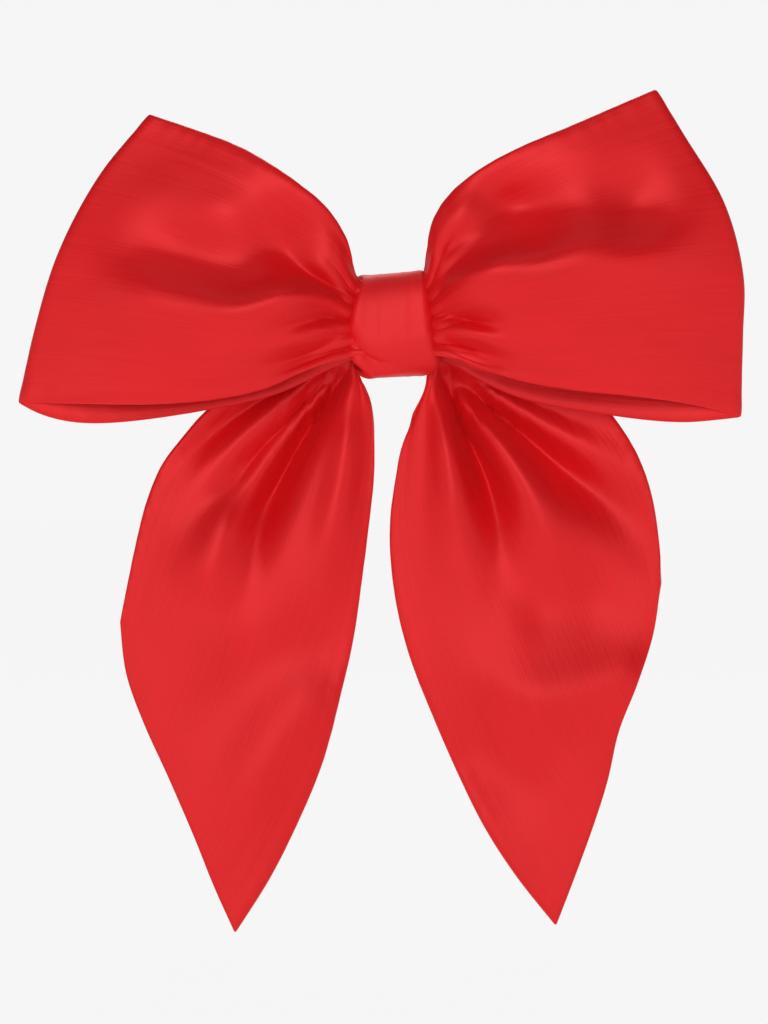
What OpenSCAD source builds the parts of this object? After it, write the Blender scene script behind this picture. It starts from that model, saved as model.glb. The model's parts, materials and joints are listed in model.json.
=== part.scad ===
// Satin hair bow with two tails on a toothed alligator clip, in millimetres.
// X runs across the bow, Z is up as it is worn, and the front of the bow faces -Y.
// The origin is in the clip's grip, at the middle of the clip's length.

/* [Loops] */
// Reach of the left loop, from the knot's middle to its lower outer corner
left_reach = 60; // [50:1:75]
// Reach of the right loop, from the knot's middle to its outer fold
right_reach = 58; // [50:1:75]
// Height of the left loop's upper corner above the knot's middle
left_peak = 34; // [26:1:42]
// Height of the right loop's upper corner above the knot's middle
right_peak = 38; // [26:1:46]
// How far the loops' lower edges hang below the knot's middle
loop_drop = 16; // [12:1:20]
// How far the front panels puff out in front of the knot's middle
puff = 17; // [11:0.5:20]
// Thickness of the doubled satin in the loops
band_t = 1.2; // [0.8:0.1:1.6]

/* [Tails] */
// Length of the tails, from the knot's middle to the tip
tail_drop = 99; // [75:1:120]
// Width of a tail at its widest place
tail_w = 42; // [32:1:50]
// Thickness of the doubled satin in the tails
tail_t = 1.2; // [0.8:0.1:1.6]
// Height of the fold lines where the tails swing, below the knot's middle
fold_drop = 19; // [18:0.5:24]
// Gap that is left open at each fold line
fold_gap = 1.2; // [1:0.1:2]

/* [Knot] */
// Width of the centre wrap, across the bow
knot_w = 13.4; // [11:0.2:16]
// Height of the centre wrap
knot_h = 16.4; // [14:0.2:20]
// Depth of the centre wrap, from front to back
knot_d = 11.6; // [10:0.2:14]
// Thickness of the folded satin of the wrap
wrap_t = 1.2; // [0.8:0.1:1.6]
// How far the knot's middle sits below the clip's centre line
knot_low = 2.4; // [0:0.2:4]
// Diameter of the gathering thread
thread_d = 0.6; // [0.4:0.05:0.8]
// Number of turns of the gathering thread
thread_turns = 4; // [2:1:6]
// Thickness of the glue between the wrap and the clip
glue_t = 0.8; // [0.4:0.1:1.2]

/* [Clip] */
// Length of the clip, from the handles' ends to the jaw's tip
clip_l = 75; // [60:1:90]
// Length of the handles, from the hinge pin to their ends
handle_l = 14; // [11:0.5:17]
// Width of the plate jaw at its tip
plate_tip_w = 8; // [7.4:0.1:9]
// Width of the plate jaw at the hinge
plate_root_w = 9.6; // [9.6:0.1:11]
// Width of the prong at its tip
prong_tip_w = 5; // [4:0.1:5.4]
// Thickness of the sheet steel
sheet_t = 0.6; // [0.4:0.05:0.7]
// Height of the plate's toothed sides above its web
rim_h = 2.2; // [1.6:0.1:3]
// Distance from one tooth to the next
tooth_pitch = 2.6; // [2:0.1:3.4]
// Diameter of the hinge pin
pin_d = 1.4; // [1:0.1:1.6]
// Diameter of the spring's wire
wire_d = 0.6; // [0.4:0.05:0.7]
// Tilt of the clip across the back of the bow, in degrees
clip_tilt = 7.2; // [0:0.2:12]

/* [Hidden] */
$fn = 48;

// Clearances
cloth_gap = 0.3;     // between two layers of cloth, and between cloth and metal
jaw_gap = 0.2;       // between the closed jaws
run_gap = 0.05;      // radial, between the pin and the prong's ears
side_gap = 0.6;      // between the prong's ears and the plate's ears

// Depths, from the clip towards the front of the bow
web_in = -jaw_gap / 2;
web_out = web_in - sheet_t;
wrap_back = web_out - glue_t;
wrap_front = wrap_back - knot_d;
cavity_back = wrap_back - wrap_t - cloth_gap;
cavity_front = wrap_front + wrap_t + cloth_gap;
gather_t = 2 * tail_t;                       // the tail strip is crushed to this inside the wrap
tail_back = cavity_back;
tail_front = tail_back - tail_t;
band_back = tail_back - gather_t - cloth_gap;
band_front = cavity_front;
band_mid = (band_back + band_front) / 2;
groove = thread_d + 0.1;                     // the thread lies in this depth of crushed cloth
wrap_r = 3.4;                                // rounding of the wrap over the gathers

// Places along the clip
handle_end = clip_l / 2;
hinge_x = handle_end - handle_l;
tip_x = handle_end - clip_l;
pin_y = 2.3;
pin_r = pin_d / 2;
ear_r = pin_r + 1.2;
prong_reach = tip_x + 3.5;                   // the prong stops short of the plate's end wall
prong_lie = -12;                             // the closed prong lies on the plate from here to its tip
prong_in = jaw_gap / 2;
prong_root_w = plate_root_w - 2 * (sheet_t + side_gap);
prong_top = pin_y + ear_r + sheet_t / 2;     // middle of the prong's sheet above the pin
plate_handle_slope = -8;
prong_handle_slope = 16;
lip_l = 2.4;                                 // the end of the prong's handle is bent level over this
slit_w = 4.4;                                // slit along the lip's bend
coil_r = pin_r + wire_d / 2 + 0.3;
coil_turns = 3.5;
coil_l = (coil_turns + 0.5) * (wire_d + 0.1);

STEEL = [0.78, 0.77, 0.75];
SATIN = [0.84, 0.09, 0.10];

// ---------- curves ----------

function bez(p, n = 12) = [for (i = [0:n - 1]) let (t = i / n, u = 1 - t)
    u * u * u * p[0] + 3 * u * u * t * p[1] + 3 * u * t * t * p[2] + t * t * t * p[3]];

function unit(v) = v / norm(v);

function turned(v) = [-v[1], v[0]];

// The tangent of a path at point i.
function along(p, i) = unit(p[min(i + 1, len(p) - 1)] - p[max(i - 1, 0)]);

// A strip of thickness t with the path down its middle.
function strip(p, t, lift = 0) = concat(
    [for (i = [0:len(p) - 1]) p[i] + (lift + t / 2) * turned(along(p, i))],
    [for (i = [len(p) - 1:-1:0]) p[i] + (lift - t / 2) * turned(along(p, i))]);

// Extrudes a front view, drawn with X across and Y up, from depth y0 to depth y1.
module through(y0, y1) {
    translate([0, max(y0, y1), 0]) rotate([90, 0, 0]) linear_extrude(abs(y1 - y0)) children();
}

// Extrudes a side view, drawn with X back and Y up, from x0 to x1.
module across(x0, x1) {
    translate([x0, 0, 0]) rotate([90, 0, 90]) linear_extrude(x1 - x0) children();
}

module round_box(w, h, r) {
    square([w - 2 * r, h], center = true);
    square([w, h - 2 * r], center = true);
    for (x = [-1, 1], y = [-1, 1]) translate([x * (w / 2 - r), y * (h / 2 - r)]) circle(r);
}

module at_knot() { translate([0, 0, -knot_low]) children(); }

module at_clip() { rotate([0, clip_tilt, 0]) children(); }

// ---------- loops ----------

neck_x = knot_w / 2 + cloth_gap;             // where the loops leave the wrap
neck_top = knot_h / 2 - wrap_t - 2 * cloth_gap;
neck_low = neck_top - 1;

// Front view of the left loop: upper edge, outer fold and lower edge.
function left_view() = concat(
    bez([[-neck_x, neck_top], [-neck_x, 0.6 * left_peak], [-0.30 * left_reach, 0.92 * left_peak],
         [-0.65 * left_reach, left_peak]]),
    bez([[-0.65 * left_reach, left_peak], [-0.85 * left_reach, 0.5 * left_peak],
         [-0.95 * left_reach, 0], [-left_reach, -0.8 * loop_drop]]),
    bez([[-left_reach, -0.8 * loop_drop], [-0.85 * left_reach, -1.15 * loop_drop],
         [-0.4 * left_reach, -loop_drop], [-neck_x, -neck_low]]),
    [[-neck_x, -neck_low]]);

// Front view of the right loop.
function right_view() = concat(
    bez([[neck_x, neck_top], [neck_x, 0.6 * right_peak], [0.25 * right_reach, 0.76 * right_peak],
         [0.74 * right_reach, right_peak]]),
    bez([[0.74 * right_reach, right_peak], [1.03 * right_reach, 0.5 * right_peak],
         [right_reach, 0], [0.98 * right_reach, -0.9 * loop_drop]]),
    bez([[0.98 * right_reach, -0.9 * loop_drop], [0.8 * right_reach, -1.08 * loop_drop],
         [0.4 * right_reach, -loop_drop], [neck_x, -neck_low]]),
    [[neck_x, -neck_low]]);

// Top view of one loop: a drop that puffs to the front and closes at the outer fold.
function drop_view(reach) = concat(
    bez([[neck_x - 2, band_front], [0.28 * reach, band_mid - puff - 4], [0.72 * reach, band_mid - puff],
         [reach, band_mid - 4]], 16),
    bez([[reach, band_mid - 4], [0.8 * reach, band_back + 1], [0.4 * reach, band_back - 0.4],
         [neck_x - 2, band_back]], 16),
    [[neck_x - 2, band_back]]);

module drop_ring(reach) {
    difference() {
        polygon(drop_view(reach));
        intersection() {
            offset(delta = -band_t) polygon(drop_view(reach));
            translate([neck_x + 2, -100]) square([200, 200]);
        }
    }
}

module loop_band() {
    color(SATIN) at_knot() {
        intersection() {
            through(-60, 20) polygon(left_view());
            mirror([1, 0, 0]) translate([0, 0, -60]) linear_extrude(130) drop_ring(left_reach);
        }
        intersection() {
            through(-60, 20) polygon(right_view());
            translate([0, 0, -60]) linear_extrude(130) drop_ring(right_reach + 1);
        }
        difference() {
            across(-neck_x, neck_x) translate([band_mid, 0])
                round_box(band_back - band_front, 2 * neck_low, 1.5);
            thread_groove();
        }
    }
}

// ---------- tails ----------

// Front view of the left tail: top edge, outer edge, then the inner edge back up from the tip.
function left_tail_view() = let (w = tail_w, d = tail_drop) concat(
    bez([[-neck_x, 0], [-0.38 * w, -3], [-0.66 * w, -6], [-0.82 * w, -fold_drop]]),
    bez([[-0.82 * w, -fold_drop], [-0.93 * w, -0.28 * d], [-0.98 * w, -0.34 * d], [-1.04 * w, -0.47 * d]]),
    bez([[-1.04 * w, -0.47 * d], [-1.06 * w, -0.56 * d], [-0.78 * w, -0.76 * d], [-0.61 * w, -d]]),
    bez([[-0.61 * w, -d], [-0.3 * w, -0.78 * d], [-0.1 * w, -0.46 * d], [-0.065 * w, -fold_drop]]),
    bez([[-0.065 * w, -fold_drop], [-0.065 * w, -0.8 * fold_drop], [-0.1 * w, -0.6 * fold_drop],
         [-neck_x, -neck_low]]),
    [[-neck_x, -neck_low]]);

// Front view of the right tail.
function right_tail_view() = let (w = tail_w, d = tail_drop) concat(
    bez([[neck_x, 0], [0.4 * w, -3], [0.76 * w, -5], [0.93 * w, -fold_drop]]),
    bez([[0.93 * w, -fold_drop], [1.03 * w, -0.28 * d], [1.08 * w, -0.44 * d], [1.01 * w, -0.53 * d]]),
    bez([[1.01 * w, -0.53 * d], [0.9 * w, -0.68 * d], [0.78 * w, -0.84 * d], [0.65 * w, -0.98 * d]]),
    bez([[0.65 * w, -0.98 * d], [0.3 * w, -0.78 * d], [-0.06 * w, -0.46 * d], [0.04 * w, -fold_drop]]),
    bez([[0.04 * w, -fold_drop], [0.05 * w, -0.8 * fold_drop], [0.12 * w, -0.6 * fold_drop],
         [neck_x, -neck_low]]),
    [[neck_x, -neck_low]]);

// Side view of the sheet: it hangs from the knot and bows a little towards the front.
function hang_path() = [for (i = [0:20]) let (t = i / 20)
    [(tail_back + tail_front) / 2 - 4 * t * (1 - t) * (1 - t), 4 - t * (tail_drop + 6)]];

module tail_sheet(view) {
    intersection() {
        through(-30, 20) polygon(view);
        across(-100, 100) polygon(strip(hang_path(), tail_t));
    }
}

module below_fold() { translate([-100, -50, -200 - fold_drop - fold_gap / 2]) cube([200, 100, 200]); }

module above_fold() { translate([-100, -50, -fold_drop + fold_gap / 2]) cube([200, 100, 60]); }

// The room that the wrap takes up, with its clearance.
module wrap_space() {
    across(-neck_x, neck_x) translate([(wrap_back + wrap_front) / 2, 0])
        round_box(knot_d + 2 * cloth_gap, knot_h + 2 * cloth_gap, wrap_r + cloth_gap);
}

module tail_gathers() {
    color(SATIN) at_knot() {
        for (view = [left_tail_view(), right_tail_view()]) difference() {
            intersection() {
                tail_sheet(view);
                above_fold();
            }
            wrap_space();
        }
        difference() {
            across(-neck_x - 0.6, neck_x + 0.6) translate([tail_back - gather_t / 2, 0])
                round_box(gather_t, 2 * neck_low, 1);
            thread_groove();
        }
    }
}

module tail_left() {
    color(SATIN) at_knot() intersection() {
        tail_sheet(left_tail_view());
        below_fold();
    }
}

module tail_right() {
    color(SATIN) at_knot() intersection() {
        tail_sheet(right_tail_view());
        below_fold();
    }
}

// ---------- knot ----------

module knot_wrap() {
    color(SATIN) at_knot() across(-knot_w / 2, knot_w / 2)
        translate([(wrap_back + wrap_front) / 2, 0]) difference() {
            round_box(knot_d, knot_h, wrap_r);
            round_box(knot_d - 2 * wrap_t, knot_h - 2 * wrap_t, wrap_r - wrap_t);
        }
}

bundle_d = tail_back - band_front;           // depth of the gathered cloth, tails and loops together
bundle_y = (tail_back + band_front) / 2;

module thread_ring(d, h, r) {
    translate([bundle_y, 0]) difference() {
        round_box(d, h, r);
        round_box(d - 2 * thread_d, h - 2 * thread_d, r - thread_d);
    }
}

thread_span = thread_turns * (thread_d + 0.1);

// What the thread's turns take away from the crushed cloth.
module thread_groove() {
    across(-thread_span / 2 - 0.1, thread_span / 2 + 0.1) translate([bundle_y, 0]) difference() {
        square([bundle_d + 2, 2 * neck_low + 2], center = true);
        round_box(bundle_d - 2 * groove, 2 * (neck_low - groove), 1);
    }
}

module gather_thread() {
    color(SATIN * 0.9) at_knot() for (i = [0:thread_turns - 1])
        translate([-thread_span / 2 + i * (thread_d + 0.1) + 0.05, 0, 0])
            across(0, thread_d) thread_ring(bundle_d, 2 * neck_low, 1.6);
}

stitch_n = 5;                                // hand stitches that close the wrap
stitch_l = 1.6;

module wrap_stitches() {
    color(SATIN * 0.9) at_knot() for (i = [0:stitch_n - 1])
        translate([(i - (stitch_n - 1) / 2) * knot_w / (stitch_n + 1), wrap_back + thread_d / 4,
                   -knot_h / 2 + 3.6]) rotate([0, 25, 0]) {
            cylinder(h = stitch_l, d = thread_d / 2, center = true);
        }
}

// Spread hot glue: three overlapping flat dabs under the plate.
module glue_pad() {
    color([0.86, 0.84, 0.78]) at_clip() for (x = [-1, 0, 1])
        translate([x * 0.26 * knot_w, web_out, 0]) rotate([90, 0, 0])
            cylinder(h = glue_t, d = (x == 0 ? 0.9 : 0.74) * plate_tip_w);
}

// ---------- clip ----------

// Half the plate's width: it widens from the tip to the hinge, and its toothed edge waves.
function plate_half(x) = (plate_tip_w + (plate_root_w - plate_tip_w) * (x - tip_x) / (hinge_x - tip_x)) / 2;
function wave(x) = 0.22 * cos(360 * x / tooth_pitch) - 0.22;

rim_end = hinge_x - ear_r - 1;
rim_xs = [for (x = [tip_x + 0.8:tooth_pitch / 6:rim_end]) x];

// Plan of the plate, or of what lies inside its rims when inset is the sheet's thickness.
function plate_plan(inset = 0) = let (half = [for (x = rim_xs) [x, plate_half(x) + wave(x) - inset]]) concat(
    [[tip_x + inset, plate_half(tip_x) - 0.4 - inset]], half,
    [[rim_end, plate_half(rim_end) - inset], [hinge_x + ear_r, plate_root_w / 2 - inset],
     [hinge_x + ear_r, -plate_root_w / 2 + inset], [rim_end, -plate_half(rim_end) + inset]],
    [for (i = [len(half) - 1:-1:0]) [half[i][0], -half[i][1]]],
    [[tip_x + inset, -plate_half(tip_x) + 0.4 + inset]]);

// Extrudes a plan, drawn with X along the clip and Y across it, from depth y0 to depth y1.
module plan(y0, y1) {
    translate([0, y0, 0]) rotate([90, 0, 0]) mirror([0, 0, 1]) linear_extrude(y1 - y0) children();
}

// Extrudes a side view of the clip over the width from z0 to z1.
module side(z0, z1) { translate([0, 0, z0]) linear_extrude(z1 - z0) children(); }

web_mid = web_in - sheet_t / 2;
bend_x = hinge_x + ear_r;                    // the plate's handle bends away here
function plate_handle_path() = let (run = handle_end - bend_x) [
    [bend_x - 1, web_mid], [bend_x, web_mid], [bend_x + 1, web_mid - 0.1],
    [handle_end - 0.3, web_mid + run * tan(plate_handle_slope)]];

module plate_ears() {
    for (s = [-1, 1]) mirror([0, 0, s < 0 ? 1 : 0])
        side(plate_root_w / 2 - sheet_t, plate_root_w / 2) {
            translate([hinge_x, pin_y]) circle(ear_r);
            translate([hinge_x - ear_r, web_out]) square([2 * ear_r, pin_y - web_out]);
            translate([rim_end - 0.6, web_out]) square([ear_r + 2, rim_h / 2 + sheet_t]);
        }
}

// Notches between the teeth, in side view.
module tooth_notches() {
    for (i = [1:floor((rim_end - tip_x) / tooth_pitch) - 1]) let (x = (i - 0.5) * tooth_pitch + tip_x + 1.3)
        polygon([[x - tooth_pitch / 2 + 0.2, web_in + rim_h + 1], [x, web_in + rim_h - 0.8],
                 [x + tooth_pitch / 2 - 0.2, web_in + rim_h + 1]]);
}

bend_half = plate_root_w / 2 - 0.9;          // half the handle's width at its bend
bead_w = 0.6;                                // the handle's raised edge
bead_h = 0.45;

module plate_handle_plan(inset = 0) {
    polygon([[bend_x - 1, bend_half - inset], [handle_end, plate_root_w / 2 - inset],
             [handle_end, -plate_root_w / 2 + inset], [bend_x - 1, -bend_half + inset]]);
}

// The plate's handle: a flared tab with raised edges and a rolled end.
module plate_handle() {
    intersection() {
        side(-10, 10) polygon(strip(plate_handle_path(), sheet_t));
        plan(-20, 5) plate_handle_plan();
    }
    intersection() {
        side(-10, 10) polygon(strip(plate_handle_path(), sheet_t, bead_h));
        plan(-20, 5) difference() {
            plate_handle_plan();
            plate_handle_plan(bead_w);
        }
    }
    translate([handle_end - 0.3, web_mid + (handle_end - bend_x) * tan(plate_handle_slope), 0])
        cylinder(h = plate_root_w, d = 1.5 * sheet_t, center = true);
}

module jaw_plate() {
    color(STEEL) at_clip() difference() {
        union() {
            difference() {
                plan(web_out, web_in + rim_h) polygon(plate_plan());
                plan(web_in, web_in + rim_h + 1) polygon(plate_plan(sheet_t));
                side(-10, 10) tooth_notches();
                translate([rim_end, web_in, -10]) cube([20, 10, 20]);
            }
            side(-plate_half(tip_x) + 0.9, plate_half(tip_x) - 0.9)
                polygon([[tip_x + 0.3, web_in - 0.1], [tip_x + 2.4, web_in - 0.1],
                         [tip_x + 0.3, web_in + rim_h - 0.7]]);
            plate_ears();
            plate_handle();
        }
        translate([hinge_x, pin_y, 0]) cylinder(h = 20, r = pin_r, center = true);
    }
}

prong_bend = hinge_x + 1.5;

// Height of the prong's middle above the plate: flat at the tip, then arching up to the hinge.
function prong_y(x) = let (s = max(0, (x - prong_lie) / (hinge_x - prong_lie)))
    prong_in + sheet_t / 2 + (prong_top - prong_in - sheet_t / 2) * s * s;
prong_jaw = [for (i = [0:24]) let (x = prong_reach + (prong_bend - prong_reach) * i / 24) [x, prong_y(x)]];
lip_y = prong_y(prong_bend) + (handle_end - lip_l - prong_bend) * tan(prong_handle_slope);
prong_path = concat(prong_jaw, [[handle_end - lip_l, lip_y], [handle_end, lip_y]]);

// Ribs across the prong, in side view: small bars on its outer face.
rib_pitch = 1.05;
rib_h = 0.28;
rib_start = prong_reach + 5;
rib_end = hinge_x - 6;
function ribbed() = concat(
    [for (i = [0:4 * floor((rib_end - rib_start) / rib_pitch)]) let (x = rib_start + i * rib_pitch / 4)
        [x, prong_y(x) + sheet_t / 2 + (i % 4 == 1 || i % 4 == 2 ? rib_h : -0.05)]],
    [for (x = [rib_end:-2:rib_start]) [x, prong_y(x)]]);

module prong_plan() {
    translate([prong_reach + prong_tip_w / 2, 0]) circle(d = prong_tip_w);
    polygon([[prong_reach + prong_tip_w / 2, prong_tip_w / 2], [hinge_x - 4, prong_root_w / 2 - 0.2],
             [hinge_x - 2.6, prong_root_w / 2], [handle_end + 1, prong_root_w / 2],
             [handle_end + 1, -prong_root_w / 2], [hinge_x - 2.6, -prong_root_w / 2],
             [hinge_x - 4, -prong_root_w / 2 + 0.2], [prong_reach + prong_tip_w / 2, -prong_tip_w / 2]]);
}

spine_w = 2;                                 // raised spine along the prong
spine_h = 0.6;
spine_start = prong_reach + 5.4;
spine_end = hinge_x - 1.2;
spine_path = [for (p = prong_jaw) if (p[0] > spine_start && p[0] < spine_end) p];
spine_widths = [0.9, 0.65, 0.4] * spine_w;   // its steps, from the lowest to the highest

module prong_spine() {
    for (k = [0:2]) let (w = spine_widths[k])
        side(-w / 2, w / 2) polygon(strip(spine_path, sheet_t, spine_h * (k + 1) / 3));
}

// A crescent where the spine starts, and the slit along the lip.
module prong_piercings() {
    plan(prong_y(spine_end) - 1, prong_y(spine_end) + 2) translate([spine_end + 0.2, 0]) difference() {
        circle(r = 1.1);
        translate([-0.55, 0]) circle(r = 1);
    }
    plan(lip_y - 2, lip_y + 2) translate([handle_end - lip_l - 0.3, 0]) square([0.45, slit_w], center = true);
}

// An oval dimple pressed into the prong's tip.
module tip_dimple() {
    r = 1.6;
    translate([prong_reach + prong_tip_w / 2 + 0.5, prong_in + sheet_t + r - 0.4, 0]) {
        for (x = [-0.7, 0.7]) translate([x, 0, 0]) sphere(r);
        rotate([0, 90, 0]) cylinder(h = 1.4, r = r, center = true);
    }
}

module prong_ears() {
    for (s = [-1, 1]) mirror([0, 0, s < 0 ? 1 : 0]) side(prong_root_w / 2 - sheet_t, prong_root_w / 2) {
        translate([hinge_x, pin_y]) circle(ear_r - 0.2);
        translate([hinge_x - ear_r + 0.3, pin_y]) square([2 * ear_r - 0.6, prong_top - pin_y - 0.15]);
    }
}

module jaw_prong() {
    color(STEEL) at_clip() difference() {
        union() {
            intersection() {
                side(-10, 10) polygon(strip(prong_path, sheet_t));
                plan(-5, 30) prong_plan();
            }
            prong_spine();
            for (s = [-1, 1]) mirror([0, 0, s < 0 ? 1 : 0])
                side(spine_w / 2 + 0.15, prong_tip_w / 2 - 0.2) polygon(ribbed());
            prong_ears();
            translate([handle_end, lip_y, 0]) cylinder(h = prong_root_w, d = 1.5 * sheet_t, center = true);
        }
        translate([hinge_x, pin_y, 0]) cylinder(h = 20, r = pin_r + run_gap, center = true);
        prong_piercings();
        tip_dimple();
    }
}

module hinge_pin() {
    color(STEEL) at_clip() translate([hinge_x, pin_y, 0]) {
        cylinder(h = plate_root_w, r = pin_r, center = true);
        for (s = [-1, 1]) mirror([0, 0, s < 0 ? 1 : 0]) translate([0, 0, plate_root_w / 2]) {
            cylinder(h = 0.5, r = pin_r + 0.45);
            translate([0, 0, 0.5]) cylinder(h = 0.3, r1 = pin_r + 0.45, r2 = pin_r - 0.1);
        }
    }
}

// ---------- spring ----------

leg_l = 0.6 * handle_l;

// The wire's path about the pin: a leg on the plate's handle, the coil, and a leg on the prong's handle.
function spring_path() = concat(
    [[leg_l, web_in + leg_l * tan(plate_handle_slope) / 2 + wire_d / 2 + 0.1 - pin_y, -coil_l / 2]],
    [for (i = [0:14 * coil_turns]) let (a = -90 - 360 * i / 14)
        [coil_r * cos(a), coil_r * sin(a), coil_l * (i / (14 * coil_turns) - 0.5)]],
    [[leg_l, coil_r + leg_l * tan(prong_handle_slope) - 0.7, coil_l / 2]]);

function frame_at(p, i) = let (t = along(p, i), n = unit(cross(t, [0, 0, 1]))) [n, cross(n, t)];

module tube(p, r, sides = 8) {
    n = len(p);
    points = [for (i = [0:n - 1]) let (f = frame_at(p, i)) for (k = [0:sides - 1])
        p[i] + r * (cos(360 * k / sides) * f[0] + sin(360 * k / sides) * f[1])];
    walls = [for (i = [0:n - 2], k = [0:sides - 1]) let (a = i * sides + k, b = i * sides + (k + 1) % sides)
        [a, a + sides, b + sides, b]];
    polyhedron(points, concat([[for (k = [0:sides - 1]) k]], walls,
        [[for (k = [sides - 1:-1:0]) (n - 1) * sides + k]]));
}

module torsion_spring() {
    color(STEEL) at_clip() translate([hinge_x, pin_y, 0]) tube(spring_path(), wire_d / 2);
}

loop_band();
tail_gathers();
tail_left();
tail_right();
knot_wrap();
gather_thread();
wrap_stitches();
glue_pad();
jaw_plate();
jaw_prong();
hinge_pin();
torsion_spring();
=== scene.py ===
"""Satin hair bow: the looks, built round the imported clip.

The loops, the tails and the wrap are sheets of satin. Each loop and tail starts as a grid laid over its
outline, with its gathers and folds drawn in, and a small cloth solver then relaxes it. The clip's jaws and
pin and the hidden thread are the CAD model's own, with better materials.

Lengths are in millimetres until a mesh is made. Outlines are measured from the knot's middle, as (out, up),
where out is the distance to the side that the loop or tail is on.
"""
import json
import math

import bpy
import numpy as np
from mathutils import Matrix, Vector


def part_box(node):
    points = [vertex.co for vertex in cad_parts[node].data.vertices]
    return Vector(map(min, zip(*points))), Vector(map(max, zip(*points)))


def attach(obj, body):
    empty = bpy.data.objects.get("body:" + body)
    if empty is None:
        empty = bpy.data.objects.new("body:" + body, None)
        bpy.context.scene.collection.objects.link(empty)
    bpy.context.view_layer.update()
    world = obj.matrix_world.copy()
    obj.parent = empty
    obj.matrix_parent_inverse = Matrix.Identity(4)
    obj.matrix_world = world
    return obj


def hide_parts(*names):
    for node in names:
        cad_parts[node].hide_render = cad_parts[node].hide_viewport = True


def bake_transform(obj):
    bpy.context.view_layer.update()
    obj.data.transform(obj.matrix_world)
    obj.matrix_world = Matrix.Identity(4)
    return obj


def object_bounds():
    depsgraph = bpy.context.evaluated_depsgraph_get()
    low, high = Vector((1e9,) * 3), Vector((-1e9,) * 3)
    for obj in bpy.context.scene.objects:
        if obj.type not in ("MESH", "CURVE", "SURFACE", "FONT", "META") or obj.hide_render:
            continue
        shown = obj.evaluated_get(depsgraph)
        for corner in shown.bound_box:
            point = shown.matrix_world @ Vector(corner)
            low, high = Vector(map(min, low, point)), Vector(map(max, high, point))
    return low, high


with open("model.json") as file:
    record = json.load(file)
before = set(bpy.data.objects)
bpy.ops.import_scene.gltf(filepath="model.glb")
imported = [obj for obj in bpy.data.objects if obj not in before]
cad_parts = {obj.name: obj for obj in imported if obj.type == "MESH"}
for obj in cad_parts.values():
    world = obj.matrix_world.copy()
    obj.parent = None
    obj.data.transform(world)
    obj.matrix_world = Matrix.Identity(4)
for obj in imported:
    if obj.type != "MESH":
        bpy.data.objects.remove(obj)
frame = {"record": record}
cad_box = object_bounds()
MM = 0.001

wrap_low, wrap_high = (np.array(c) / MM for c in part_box("knot_wrap"))
gather_low, gather_high = (np.array(c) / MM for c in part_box("gather_thread"))
KNOT_X, _, KNOT_Z = (wrap_low + wrap_high) / 2
JOINTS = {j["name"]: j for j in frame["record"]["behaviour"]["joints"]}
TAIL_Y = JOINTS["left_tail_swing"]["pos_m"][1] / MM
GLUE_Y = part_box("glue_pad")[1][1] / MM

# ---------- curves and grids ----------


def curve(points, n):
    """n points, evenly spaced, on a smooth curve through the given points."""
    p = np.array(points, float)
    p = np.vstack([2 * p[0] - p[1], p, 2 * p[-1] - p[-2]])
    parts = []
    for a, b, c, d in zip(p[:-3], p[1:-2], p[2:-1], p[3:]):
        k1 = np.linalg.norm(b - a) ** 0.5
        k2 = k1 + np.linalg.norm(c - b) ** 0.5
        k3 = k2 + np.linalg.norm(d - c) ** 0.5
        t = np.linspace(k1, k2, 24, endpoint=False)[:, None]
        a1 = (k1 - t) / k1 * a + t / k1 * b
        a2 = ((k2 - t) * b + (t - k1) * c) / (k2 - k1)
        a3 = ((k3 - t) * c + (t - k2) * d) / (k3 - k2)
        b1 = ((k2 - t) * a1 + t * a2) / k2
        b2 = ((k3 - t) * a2 + (t - k1) * a3) / (k3 - k1)
        parts.append(((k2 - t) * b1 + (t - k1) * b2) / (k2 - k1))
    parts.append(p[-2:-1])
    dense = np.vstack(parts)
    run = np.concatenate([[0], np.cumsum(np.linalg.norm(np.diff(dense, axis=0), axis=1))])
    at = np.linspace(0, run[-1], n)
    return np.stack([np.interp(at, run, dense[:, k]) for k in range(dense.shape[1])], axis=1)


def patch(low, high, start, end):
    """A grid that fills four edges: low and high run outwards, start and end run from low to high."""
    s = np.linspace(0, 1, len(low))[:, None, None]
    t = np.linspace(0, 1, len(start))[None, :, None]
    low, high, start, end = low[:, None], high[:, None], start[None], end[None]
    corners = (1 - s) * (1 - t) * low[0] + (1 - s) * t * high[0] + s * (1 - t) * low[-1] + s * t * high[-1]
    return (1 - t) * low + t * high + (1 - s) * start + s * end - corners


def ramp(a, b, x):
    """A smooth step from 0 at a to 1 at b."""
    t = np.clip((x - a) / (b - a), 0, 1)
    return t * t * (3 - 2 * t)


def folds_height(xz, folds):
    """How far each point of a front view stands forward. A fold is a line of points that starts at its
    strong end, its height, and its half width at that end and at the other. It fades along its far half."""
    total = np.zeros(xz.shape[:2])
    for points, height, start_w, end_w in folds:
        line = curve(points, 30)
        gap = np.linalg.norm(xz[:, :, None] - line, axis=-1)
        along = gap.argmin(-1) / 29
        width = start_w + (end_w - start_w) * along
        total += height * (1 - 0.8 * ramp(0.5, 1, along)) * np.exp(-((gap.min(-1) / width) ** 2))
    return total


def crest_height(xz, line, high, drop):
    """A crest that is broad below its line and steep above it, where it drops into a valley. Both are
    weaker and wider away from the knot."""
    line = curve(line, 60)
    x = xz[..., 0]
    d = xz[..., 1] - np.interp(x, line[:, 0], line[:, 1])
    outer = ramp(20, 34, x)
    ridge = np.exp(-((d / np.where(d < 0, 6.5, 1.9 + 2.7 * outer)) ** 2))
    valley = np.exp(-(((d - 8.5) / np.where(d < 8.5, 4.8, 6.0)) ** 2))
    start, end = line[0, 0], line[-1, 0]
    height = high * (1 - 0.35 * outer) * (1 - ramp(end - 12, end + 2, x)) * ridge
    height -= drop * (1 - 0.3 * outer) * (1 - ramp(end - 17, end - 5, x)) * valley
    return height * ramp(start, start + 9, x)


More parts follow.
